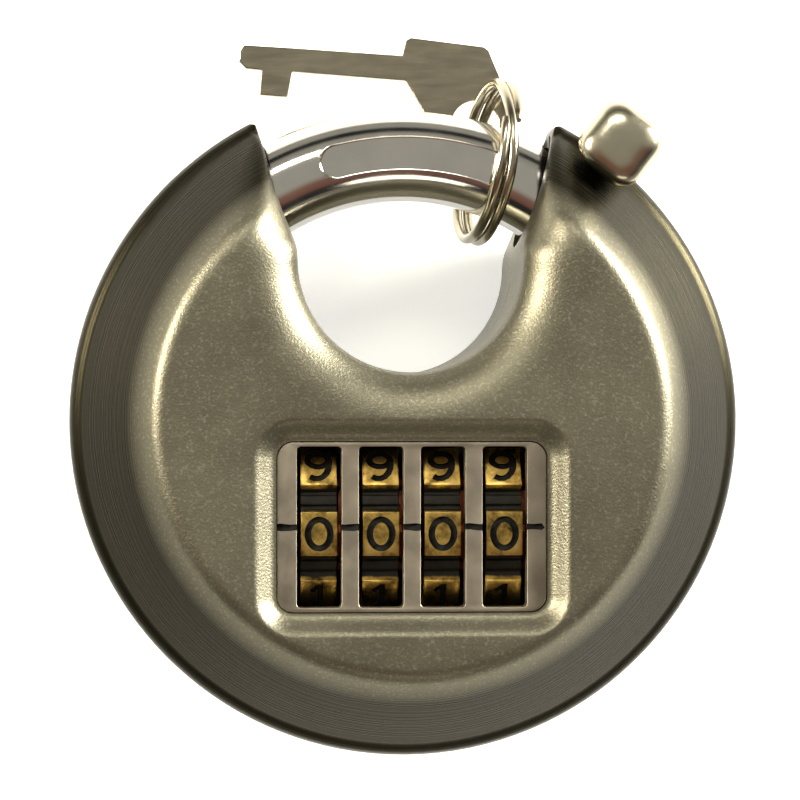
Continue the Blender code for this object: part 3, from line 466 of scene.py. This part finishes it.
def shell_solid(name, sign):
    """One pressed half of the casing, as a closed sheet of steel with its inside face."""
    seam = 0.06                 # half the gap between the two shells
    slot_height = 1.8           # half height of the opening in the rim for the knob's stem
    slot_from, slot_to = -27.0, 58.0
    points, faces, low_loops = [], [], []
    for off in (0.0, SHEET):
        columns, edge = column_ends(off)
        grid, low_o, low_i = [], [], []
        for rim_at, throat_at in columns:
            row = column(rim_at, throat_at, edge, off)
            grid.append(row)
            angle = math.degrees(math.atan2(rim_at[1], rim_at[0]))
            slot = slot_height if slot_from <= angle <= slot_to else seam
            low_o.append((*rim_at, min(slot, row[0][2] - 0.2)))
            low_i.append((*throat_at, max(roof(abs(throat_at[0]), throat_at[1]), seam)))
        # the face is a grid of n columns of m points
        base = len(points)
        n, m = len(grid), len(grid[0])
        points += [p for row in grid for p in row]
        faces += [(base + i * m + j, base + (i + 1) * m + j, base + (i + 1) * m + j + 1, base + i * m + j + 1)
                  for i in range(n - 1) for j in range(m - 1)]
        # once round the grid's outline: the rim, one horn, the throat and the other horn
        loop = [base + i * m for i in range(n)] + [base + (n - 1) * m + j for j in range(1, m - 1)]
        loop += [base + i * m + m - 1 for i in range(n - 1, -1, -1)] + [base + j for j in range(m - 2, 0, -1)]
        # the same outline low down, which the face's walls go to
        ends = []
        for i in (n - 1, 0):
            za, zb = low_o[i][2], low_i[i][2]
            ends.append([(x, y, min(z - 0.1, za + (zb - za) * j / (m - 1)))
                         for j, (x, y, z) in enumerate(grid[i]) if 0 < j < m - 1])
        low = low_o + ends[0] + low_i[::-1] + ends[1][::-1]
        start = len(points)
        points += low
        faces += [(loop[i], loop[(i + 1) % len(loop)], start + (i + 1) % len(low), start + i)
                  for i in range(len(loop))]
        low_loops.append(start)
    # the low outlines of the outer and the inner face close the sheet
    count = len(low)
    a, b = low_loops
    faces += [(a + i, a + (i + 1) % count, b + (i + 1) % count, b + i) for i in range(count)]
    return from_faces(name, [(x, y, MID + sign * z) for x, y, z in points], faces)


class PadlockSizes(bpy.types.PropertyGroup):
    """Sizes in the lock that a user may change."""
    digit_height: bpy.props.FloatProperty(name="Digit height", description="Height of the wheels' digits",
                                          default=3.55 * MM, unit="LENGTH")
    digit_depth: bpy.props.FloatProperty(name="Digit depth", description="How deep the digits are cut",
                                         default=0.25 * MM, unit="LENGTH")
    recess_lip: bpy.props.FloatProperty(name="Recess lip", description="Width of the recess's rolled edge",
                                        default=2.4 * MM, unit="LENGTH")
    ring_wire: bpy.props.FloatProperty(name="Ring wire", description="Radius of the split ring's wire",
                                       default=0.55 * MM, unit="LENGTH")


class PadlockColours(bpy.types.PropertyGroup):
    """Colours of the lock's metals, as linear values."""
    shell: bpy.props.FloatVectorProperty(name="Shell", description="Blasted stainless steel", size=4,
                                         min=0, max=1, subtype="COLOR", default=linear("#7B7868"))
    window: bpy.props.FloatVectorProperty(name="Window plate", description="Plate round the wheels", size=4,
                                          min=0, max=1, subtype="COLOR", default=linear("#9D9587"))
    chrome: bpy.props.FloatVectorProperty(name="Chrome", description="Plating of the shackle", size=4,
                                          min=0, max=1, subtype="COLOR", default=linear("#DEDCD8"))
    brass: bpy.props.FloatVectorProperty(name="Brass", description="Rubbed brass of the wheels", size=4,
                                         min=0, max=1, subtype="COLOR", default=linear("#CBAA5C"))
    nickel: bpy.props.FloatVectorProperty(name="Nickel", description="Plating of the key and ring", size=4,
                                          min=0, max=1, subtype="COLOR", default=linear("#B0A996"))


class PADLOCK_OT_shells(bpy.types.Operator):
    """Build the two pressed halves of the casing"""
    bl_idname = "padlock.shells"
    bl_label = "Casing shells"

    def execute(self, context):
        steel = bead_blasted_stainless(context.scene.padlock_colours)
        lip = context.scene.padlock_sizes.recess_lip / MM
        front = shell_solid("front_shell_skin", 1)
        y = WHEEL_CENTRE[0]
        # a plate under the face, so that the recess is cut in solid steel
        combine(front, loft("under", [rounded(32.0, 22.0, 3.0, 0, y, z) for z in (25.0, 27.4)]), "UNION")
        # the cutter's wall is an S, so the recess has a rolled top edge and runs out into its floor
        width, height, corner = RECESS
        stack, depth, count = [], 1.5, 16
        for k in range(count + 1):
            t = k / count
            grow = 2 * lip * t
            z = FACE - depth + depth * (0.10 + 0.9 * ease(t)) if k < count else FACE
            stack.append(rounded(width + grow, height + grow, corner + grow / 2, 0, y, z))
        over = 2 * lip + 0.6
        stack.append(rounded(width + over, height + over, corner + over / 2, 0, y, FACE + 0.08))
        combine(front, loft("recess", stack))
        hole = [rounded(width - 0.1, height - 0.1, corner - 0.1, 0, y, z) for z in CUT_DEEP]
        combine(front, loft("hole", hole))
        settle(front, "casing", steel, ["front_shell"], 40)
        back = shell_solid("back_shell_skin", -1)
        hole = [[(PLUG[0] + x, PLUG[1] + q, z) for x, q in circle(PLUG_HOLE, 64)] for z in (-1.0, 3.0)]
        combine(back, loft("hole", hole))
        settle(back, "casing", steel, ["back_shell"], 40)
        return {"FINISHED"}


class PADLOCK_OT_window(bpy.types.Operator):
    """Build the window plate with its four slots and the index groove"""
    bl_idname = "padlock.window"
    bl_label = "Window plate"

    def execute(self, context):
        y = WHEEL_CENTRE[0]
        plate = loft("window_plate_visual", [rounded(27.35, 17.25, 1.65, 0, y, z) for z in (24.6, 26.5)])
        for k in range(4):
            x = (k - 1.5) * WHEEL_PITCH
            combine(plate, loft("slot", [rounded(4.53, 16.3, 0.4, x, y, z, 3) for z in CUT_DEEP]))
        bevel(plate, 0.3, 3)
        # the index groove: hand-cut, a little uneven, with a pointed right end
        left, right, half, count = -14.2, 13.2, 0.33, 30
        ways = [k * (right - left) / count for k in range(count + 1)]
        top = [(left + w, y + half + 0.07 * math.sin(k * 2.1)) for k, w in enumerate(ways)]
        foot = [(right - w, y - half + 0.08 * math.sin(k * 1.7)) for k, w in enumerate(ways)]
        outline = [(right + 0.3, y - 0.1)] + top[::-1] + foot[::-1]
        bar = loft("index", [[(px, py, z) for px, py in outline] for z in (26.15, 27.2)])
        bar.data.materials.append(black_fill())
        # satin steel, a little warmer and duller than the shell round it
        metal = worn_metal("satin_window_plate", context.scene.padlock_colours.window, 0.40, 0.12, 260.0, 0.3)
        plate.data.materials.append(metal)
        combine(plate, bar)
        settle(plate, "casing", None, ["window_plate"])
        return {"FINISHED"}


def wheel_outline():
    """Ten lands with a groove between each pair and a low rib in the groove, as (y, z) about the axle."""
    groove, rib = 10.5, 10.8
    dip = ((13.0, groove), (15.0, groove), (15.6, rib), (20.4, rib), (21.0, groove), (23.0, groove))
    out = []
    for n in range(10):
        a = math.radians(90 + 36 * n + WHEEL_REST)
        for s in (-LAND_HALF, LAND_HALF):
            out.append((LAND_RADIUS * math.cos(a) - s * math.sin(a),
                        LAND_RADIUS * math.sin(a) + s * math.cos(a)))
        out += [polar(r, 90 + 36 * n + WHEEL_REST + d) for d, r in dip]
    return out


def figure(n, name, depth):
    """The drawn figures 0, 1, 6 and 9, cut with an even stroke, as a solid about its own centre.

    The eye of 9 is an oval, and its tail runs down the right side. 6 is 9 turned half round.
    """
    if n == 1:
        flag = [(0.5, 1.8), (0.0, 1.8), (-0.9, 1.0), (-0.6, 0.6), (-0.1, 0.95), (-0.1, -1.3), (-0.6, -1.3),
                (-0.6, -1.8), (0.9, -1.8), (0.9, -1.3), (0.5, -1.3)]
        return loft(name, [[(x, y, z) for x, y in flag[::-1]] for z in (-depth, depth)])
    rx, ry, up = (1.5, 1.8, 0.0) if n == 0 else (1.42, 1.1, 0.7)
    turn = -1 if n == 6 else 1

    def oval(a, b, z):
        return [(turn * a * c, turn * (up + b * q), z) for c, q in (polar(1.0, 10 * k) for k in range(36))]
    ring = loft(name, [oval(rx, ry, z) for z in (-depth, depth)])
    combine(ring, loft("eye", [oval(rx - 0.68, ry - 0.64, z) for z in (-2 * depth, 2 * depth)]))
    if n:
        half_stroke = 0.33
        line = [(1.15, 0.9), (1.15, 0.3), (1.08, -0.3), (0.86, -0.85), (0.5, -1.28), (0.05, -1.5),
                (-0.42, -1.5), (-0.85, -1.28)]
        sides = [[], []]
        for k, (x, y) in enumerate(line):
            (x0, y0), (x1, y1) = line[max(k - 1, 0)], line[min(k + 1, len(line) - 1)]
            reach = half_stroke / math.hypot(x1 - x0, y1 - y0)
            for side, sign in zip(sides, (1, -1)):
                side.append((turn * (x + sign * (y1 - y0) * reach), turn * (y - sign * (x1 - x0) * reach)))
        outline = sides[0] + sides[1][::-1]
        combine(ring, loft("tail", [[(x, y, z) for x, y in outline] for z in (-depth, depth)]), "UNION")
    return ring


def typed(n, sizes):
    """A figure in the plain font, for the digits that aren't drawn."""
    deselect()
    bpy.ops.object.text_add()
    text = bpy.context.object
    text.data.body = str(n)
    text.data.align_x, text.data.align_y = "CENTER", "CENTER"
    text.data.size = sizes.digit_height / 0.70
    text.data.extrude = sizes.digit_depth
    text.data.resolution_u = 5
    text.data.offset = 0.00004
    bpy.ops.object.convert(target="MESH")
    return text


def place_digit(ob, n, widen, height, centre):
    """Brings a digit to its height and moves it to its land on the wheel."""
    me = ob.data
    xs = [v.co.x for v in me.vertices]
    ys = [v.co.y for v in me.vertices]
    mx, my = (min(xs) + max(xs)) / 2, (min(ys) + max(ys)) / 2
    grow = height / (max(ys) - min(ys))
    for v in me.vertices:
        v.co.x, v.co.y = (v.co.x - mx) * grow * widen, (v.co.y - my) * grow
    me.transform(Matrix.Translation([c * MM for c in centre]) @ Matrix.Rotation(
        math.radians(36 * n + WHEEL_REST), 4, "X") @ Matrix.Translation((0, 0, LAND_RADIUS * MM)))
    ob.matrix_world = Matrix()


class PADLOCK_OT_wheels(bpy.types.Operator):
    """Build the four brass number wheels with their cut digits"""
    bl_idname = "padlock.wheels"
    bl_label = "Number wheels"

    def execute(self, context):
        sizes, colours = context.scene.padlock_sizes, context.scene.padlock_colours
        black = black_fill()
        y0, z0 = WHEEL_CENTRE
        for k in range(4):
            cx = (k - 1.5) * WHEEL_PITCH
            outline = wheel_outline()
            wheel = loft(f"number_wheel_{k + 1}_visual",
                         [[(cx + x, y0 + p, z0 + q) for p, q in outline] for x in (-WHEEL_HALF, WHEEL_HALF)])
            bevel(wheel, 0.12, 2)
            bore = [[(cx + x, y0 + p, z0 + q) for p, q in circle(WHEEL_BORE, 48)] for x in (-5, 5)]
            combine(wheel, loft("bore", bore))
            wheel.data.materials.append(aged_brass_wheel(f"aged_brass_wheel_{k + 1}", cx, colours))
            digits = []
            for n in range(10):
                drawn = n in (0, 1, 6, 9)
                digit = figure(n, f"figure_{n}", sizes.digit_depth / MM) if drawn else typed(n, sizes)
                place_digit(digit, n, 1.0 if drawn else 1.32, sizes.digit_height, (cx, y0, z0))
                digits.append(digit)
            deselect()
            for d in digits:
                d.select_set(True)
            bpy.context.view_layer.objects.active = digits[0]
            bpy.ops.object.join()
            cutter = bpy.context.object
            cutter.data.materials.clear()
            cutter.data.materials.append(black)
            bm = bmesh.new()
            bm.from_mesh(cutter.data)
            bmesh.ops.remove_doubles(bm, verts=bm.verts, dist=1e-7)
            bmesh.ops.recalc_face_normals(bm, faces=bm.faces)
            bm.to_mesh(cutter.data)
            bm.free()
            combine(wheel, cutter)
            settle(wheel, f"wheel_{k + 1}", None, [f"number_wheel_{k + 1}"], 30)
        return {"FINISHED"}


def panel_outline(g, z):
    """The shackle's panel, grown by g: rounded at its left end and square at its right end."""
    left, right, count = 105, 69, 30
    span = left - right + 2 * g
    out = [polar(BAR_ARC + PANEL_HALF + g, right - g * 2 + span * k / count) for k in range(count + 1)]
    c = polar(BAR_ARC, left)
    for k in range(1, 15):
        x, y = polar(PANEL_HALF + g, left + 12 * k)
        out.append((c[0] + x, c[1] + y))
    out += [polar(BAR_ARC - PANEL_HALF - g, left - span * k / count) for k in range(count + 1)]
    return [(x, y, z) for x, y in out]


class PADLOCK_OT_shackle(bpy.types.Operator):
    """Build the round bent bar with its long shallow panel"""
    bl_idname = "padlock.shackle"
    bl_label = "Shackle"

    def execute(self, context):
        start, end, sides = 24.0, 131.0, 56
        stations = [start, 24.15, 24.6, 25.4] + [26.5 + k * 1.0 for k in range(104)] + [130.2, 130.7, 130.9]
        turns = [2 * math.pi * (i + 0.5) / sides for i in range(sides)]
        rings = []
        for a in stations:
            d = min(a - start, end - a) * math.radians(BAR_ARC)
            q = BAR_RADIUS - BAR_ROUND + BAR_ROUND * math.sqrt(max(0.0, 1 - (1 - min(d / BAR_ROUND, 1)) ** 2))
            c, s = polar(1.0, a)
            rings.append([((BAR_ARC + q * math.cos(t)) * c, (BAR_ARC + q * math.cos(t)) * s,
                           MID + q * math.sin(t)) for t in turns])
        bar = loft("shackle_visual", rings)
        # the panel's step is rounded: how far each section grows, and its height above the mid-plane
        steps = ((-0.35, 4.35), (-0.2, 4.37), (-0.08, 4.46), (0.0, 4.62), (0.1, 5.2), (0.2, 6))
        combine(bar, loft("panel", [panel_outline(grow, MID + z) for grow, z in steps]))
        # the bolt's notch, inside the arc: radius and angle of its corners
        corners = ((20, 28.2), (20, 35.8), (25.65, 35.8), (25.65, 28.2))
        combine(bar, loft("notch", [[(*polar(r, a), z) for r, a in corners] for z in (11, 17)]))
        # bright chrome over hardened steel: near-mirror reflections with a light haze of wear
        metal = worn_metal("chrome_plated_steel", context.scene.padlock_colours.chrome, 0.07, 0.10, 160.0,
                           0.05, dark=0.9)
        settle(bar, "shackle_body", metal, ["shackle"], 30)
        return {"FINISHED"}


class PADLOCK_OT_knob(bpy.types.Operator):
    """Build the thumb knob that turns the shackle"""
    bl_idname = "padlock.knob"
    bl_label = "Thumb knob"

    def execute(self, context):
        turn = Matrix.Rotation(math.radians(KNOB_ANGLE), 4, "Z")
        levels = np.array(KNOB)
        sections, count = [], 60
        for k in range(count + 1):
            s = (len(levels) - 1) * k / count
            i = min(int(s), len(levels) - 2)
            (h, r0, r1, t0, t1, rc), _ = between(levels, s - i, i)
            outline = rounded(r1 - r0, t1 - t0, rc, (r0 + r1) / 2, (t0 + t1) / 2, MID + h, 10)
            sections.append([tuple(turn @ Vector(q)) for q in outline])
        knob = loft("shackle_knob_visual", sections)
        bevel(knob, 0.3, 3, 50)
        half = 1.45
        corners = ((-half, -half), (half, -half), (half, half), (-half, half))
        stem = [[tuple(turn @ Vector((r, a, MID + b))) for a, b in corners] for r in (32.1, 37.0)]
        combine(knob, loft("stem", stem), "UNION")
        # the screw's hole, and the wider seat for its head: distance from the disc's axis, radius
        seats = ((30.0, 1.15), (36.6, 1.15), (36.6001, 2.0), (41.0, 2.0))
        bore = [[tuple(turn @ Vector((r, p, MID + q))) for p, q in circle(w, 32)] for r, w in seats]
        combine(knob, loft("bore", bore))
        # nickel over a casting: broad highlights broken by the uneven skin
        metal = worn_metal("polished_nickel_knob", linear("#CBC5B0"), 0.2, 0.14, 60.0, 0.6, dark=0.82)
        settle(knob, "shackle_body", metal, ["shackle_knob"], 40)
        return {"FINISHED"}


class PADLOCK_OT_ring(bpy.types.Operator):
    """Build the split ring, two turns of one wire"""
    bl_idname = "padlock.ring"
    bl_label = "Split ring"

    def execute(self, context):
        # the ring's centre, its axis n, and u and v across it
        u = Vector((0.174, 0.985, 0.0)).normalized()
        n = Vector((0.985, -0.174, -0.17)).normalized()
        v = n.cross(u).normalized()
        at = Vector((9.04, 27.5, 11.75))
        radius, apart = 8.4, 1.2
        count, points = 240, []
        for k in range(count + 1):
            a = 4 * math.pi * k / count + math.radians(60)
            # the wire crosses from the first turn to the second in an eighth of its length
            side = -apart / 2 + apart * ease((k / count - 0.44) / 0.12)
            points.append(at + radius * (math.cos(a) * u + math.sin(a) * v) + n * side)
        wire = context.scene.padlock_sizes.ring_wire / MM
        taper = [wire * (0.8 + 0.2 * ease(min(k, count - k) / 2)) for k in range(count + 1)]
        ring = swept("key_ring_visual", points, taper, 20)
        # dull nickel on drawn wire: soft highlights along both turns
        nickel = context.scene.padlock_colours.nickel
        metal = worn_metal("nickel_plated_wire", nickel, 0.14, 0.14, 300.0, 0.08)
        settle(ring, "ring", metal, ["key_ring"], 50)
        return {"FINISHED"}


class PADLOCK_OT_key(bpy.types.Operator):
    """Build the flat reset key, cut from sheet, with softened edges"""
    bl_idname = "padlock.key"
    bl_label = "Reset key"

    def execute(self, context):
        # from the tip along the blade's upper edge, round the bow, and back past the bit
        out = [(-17.15, 40.3), (-16.6, 41.1), (-11.2, 40.7), (0.6, 39.75), (1.0, 41.4), (1.5, 41.7),
               (9.4, 40.6), (9.9, 40.2), (11.5, 36.2), (12.9, 32.8), (12.7, 31.8), (9.4, 27.8), (8.2, 27.3),
               (4.8, 29.6), (2.9, 33.4), (0.95, 36.95), (-11.4, 38.1), (-11.9, 35.3), (-14.9, 35.55),
               (-14.7, 38.3), (-16.4, 38.5), (-17.2, 39.3)]
        key = loft("reset_key_visual", [[(x, y, z) for x, y in out] for z in (0.02, 1.08)])
        hx, hy = KEY_HOLE
        hole = [[(hx + x, hy + y, z) for x, y in circle(2.5, 48)] for z in (-1, 3)]
        combine(key, loft("hole", hole))
        bevel(key, 0.13, 2)
        # the blade is lifted and tilted about its hole
        lift, tilt, along = 4.55, 0.165, (0.949, -0.316)
        for v in key.data.vertices:
            x, y = v.co.x / MM - hx, v.co.y / MM - hy
            v.co.z += (lift + tilt * (along[0] * x + along[1] * y)) * MM
        # nickel on rolled sheet: faint lines of wear along the blade
        nickel = context.scene.padlock_colours.nickel
        metal = worn_metal("nickel_plated_key", nickel, 0.15, 0.09, 240.0, 0.12, (1, 5, 1), 0.85)
        settle(key, "key", metal, ["reset_key"], 20)
        return {"FINISHED"}


class PADLOCK_OT_works(bpy.types.Operator):
    """Give each piece inside the casing its metal"""
    bl_idname = "padlock.works"
    bl_label = "Inner works"

    def execute(self, context):
        # inside the casing: matt grey castings, oily springs, washed sleeves and a bright bolt
        zinc = worn_metal("die_cast_zinc", linear("#8C8C8A"), 0.45, 0.2, 200.0, 0.3)
        spring = worn_metal("oiled_spring_steel", linear("#6E6E70"), 0.25, 0.15, 300.0, 0.1)
        copper = worn_metal("copper_washed_sleeve", linear("#8A4A33"), 0.35, 0.2, 300.0, 0.1)
        black = worn_metal("blackened_screw", linear("#2A2A2B"), 0.4, 0.15, 300.0, 0.1)
        bolt = worn_metal("hardened_bolt", linear("#B4B1AC"), 0.2, 0.15, 200.0, 0.1)
        brass = worn_metal("brass_plug", linear("#A98F55"), 0.3, 0.15, 200.0, 0.15)
        chosen = {"shackle_guide": zinc, "tip_socket": zinc, "chassis": zinc, "fence_bar": zinc,
                  "fence_guide_1": zinc, "fence_guide_2": zinc, "knob_screw": black, "locking_bolt": bolt,
                  "reset_plug": brass}
        for name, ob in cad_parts.items():
            metal = chosen.get(name, copper if name.startswith("wheel_sleeve") else spring)
            ob.data.materials.clear()
            ob.data.materials.append(metal)
        return {"FINISHED"}


class PADLOCK_OT_stage(bpy.types.Operator):
    """Set up the pale floor, the soft lights and the camera"""
    bl_idname = "padlock.stage"
    bl_label = "Floor, lights and camera"

    def execute(self, context):
        scene = context.scene
        deselect()
        bpy.ops.mesh.primitive_plane_add(size=4.0, location=(0, 0, -0.0003))
        floor = context.object
        floor.name = "floor"
        m, t, s = new_material("pale_paper_painted_glow", linear("#F4F4F2"), 0.0, 0.9)
        xyz = add(t, "TexCoord").outputs["Object"]
        n = add(t, "TexNoise", {"Scale": 40.0}, {"Vector": xyz})
        t.links.new(ramp(t, n.outputs["Fac"], [(0.3, linear("#F2F2F0")), (0.7, linear("#F6F6F4"))]),
                    s.inputs["Base Color"])
        # painted light: the sheet's own emission lights a pool round the lock that fades out by 125 mm, like
        # paper on a light table
        r = radius_from(t, xyz, (0, 0, 0), "XY")
        glow = add(t, "MapRange", {"interpolation_type": "SMOOTHERSTEP", "From Min": 54.0, "From Max": 125.0,
                                   "To Min": 0.6, "To Max": 0.0}, {"Value": r})
        s.inputs["Emission Color"].default_value = linear("#FFFFFD")
        t.links.new(glow.outputs[0], s.inputs["Emission Strength"])
        floor.data.materials.append(m)
        # name, place in metres, width and height, watts, spread in degrees, colour
        lamps = (("window_light", (0.78, 0.36, 0.24), (0.30, 0.24), 3.4, 60, "#FFFAEE"),
                 ("left_light", (-0.62, 0.20, 0.40), (0.22, 0.22), 0.86, 60, "#FFF6E2"),
                 ("far_light", (-0.06, 0.52, 0.64), (0.50, 0.14), 0.34, 70, "#FFF8E8"),
                 ("near_light", (0.05, -0.60, 0.42), (0.30, 0.12), 0.05, 70, "#FFF3DA"))
        for name, at, size, power, spread, tint in lamps:
            deselect()
            bpy.ops.object.light_add(type="AREA", location=at)
            lamp = context.object
            lamp.name = name
            lamp.data.shape = "RECTANGLE"
            lamp.data.size, lamp.data.size_y = size
            lamp.data.energy = power
            lamp.data.spread = math.radians(spread)
            lamp.data.color = linear(tint)[:3]
            lamp.rotation_euler = (Vector((0, 0, MID * MM)) - Vector(at)).to_track_quat("-Z", "Y").to_euler()
        # the room: pale overhead and at the horizon, with a dark line of furniture between, and a warm brown
        # patch on the near side
        world = bpy.data.worlds.new("soft_room")
        world.use_nodes = True
        t = world.node_tree
        way = add(t, "SeparateXYZ", links={0: add(t, "TexCoord").outputs["Generated"]})
        far_side = ramp(t, way.outputs[2], [(0.0, 0.40), (0.22, 0.36), (0.30, 0.03), (0.42, 0.03),
                                            (0.52, 0.34), (0.93, 0.42)])
        near_side = ramp(t, way.outputs[2], [(0.0, 0.40), (0.22, 0.36), (0.38, 0.30), (0.46, 0.02),
                                             (0.62, 0.03), (0.70, linear("#7A5450")),
                                             (0.86, linear("#8A6A62")), (0.95, 0.42)])
        which = add(t, "MapRange", {"From Min": -0.12, "From Max": 0.12}, {"Value": way.outputs[1]})
        both = add(t, "Mix", {"data_type": "RGBA"}, {0: which.outputs[0], 6: near_side, 7: far_side})
        tint = add(t, "Mix", {"data_type": "RGBA", "blend_type": "MULTIPLY", 0: 1.0, 7: linear("#F8F3E2")},
                   {6: both.outputs[2]})
        t.links.new(tint.outputs[2], t.nodes["Background"].inputs[0])
        scene.world = world
        scene.view_settings.view_transform = "Standard"
        deselect()
        # the camera stands 300 mm above the lock, a little to its left, and sees a square 84.5 mm wide there
        far, tilt = 300.0, 0.07
        view_width, sensor = 84.4773, 36.0
        aim = Vector((-0.37, 2.16, MID))
        bpy.ops.object.camera_add(location=(aim + Vector((-tilt, 0, 1)) * far) * MM)
        cam = context.object
        cam.rotation_euler = (0.0, -math.atan(tilt), 0.0)
        cam.data.sensor_width = sensor
        cam.data.lens = sensor * far * math.sqrt(1 + tilt * tilt) / view_width
        cam.data.clip_start, cam.data.clip_end = 0.01, 20.0
        scene.camera = cam
        return {"FINISHED"}


class PADLOCK_PT_panel(bpy.types.Panel):
    """Lists the lock's build steps"""
    bl_idname = "PADLOCK_PT_panel"
    bl_label = "Disc padlock"
    bl_space_type = "VIEW_3D"
    bl_region_type = "UI"
    bl_category = "Padlock"

    def draw(self, context):
        for group in (context.scene.padlock_sizes, context.scene.padlock_colours):
            for key in group.__annotations__:
                self.layout.prop(group, key)
        for step in STEPS:
            self.layout.operator(step.bl_idname)


STEPS = (PADLOCK_OT_works, PADLOCK_OT_shells, PADLOCK_OT_window, PADLOCK_OT_wheels, PADLOCK_OT_shackle,
         PADLOCK_OT_knob, PADLOCK_OT_ring, PADLOCK_OT_key, PADLOCK_OT_stage)
CLASSES = (PadlockSizes, PadlockColours, *STEPS, PADLOCK_PT_panel)


def register():
    for c in CLASSES:
        bpy.utils.register_class(c)
    bpy.types.Scene.padlock_sizes = bpy.props.PointerProperty(type=PadlockSizes)
    bpy.types.Scene.padlock_colours = bpy.props.PointerProperty(type=PadlockColours)


def unregister():
    del bpy.types.Scene.padlock_sizes
    del bpy.types.Scene.padlock_colours
    for c in reversed(CLASSES):
        bpy.utils.unregister_class(c)


def main():
    register()
    for step in STEPS:
        group, name = step.bl_idname.split(".")
        getattr(getattr(bpy.ops, group), name)()


if __name__ == "__main__":
    main()
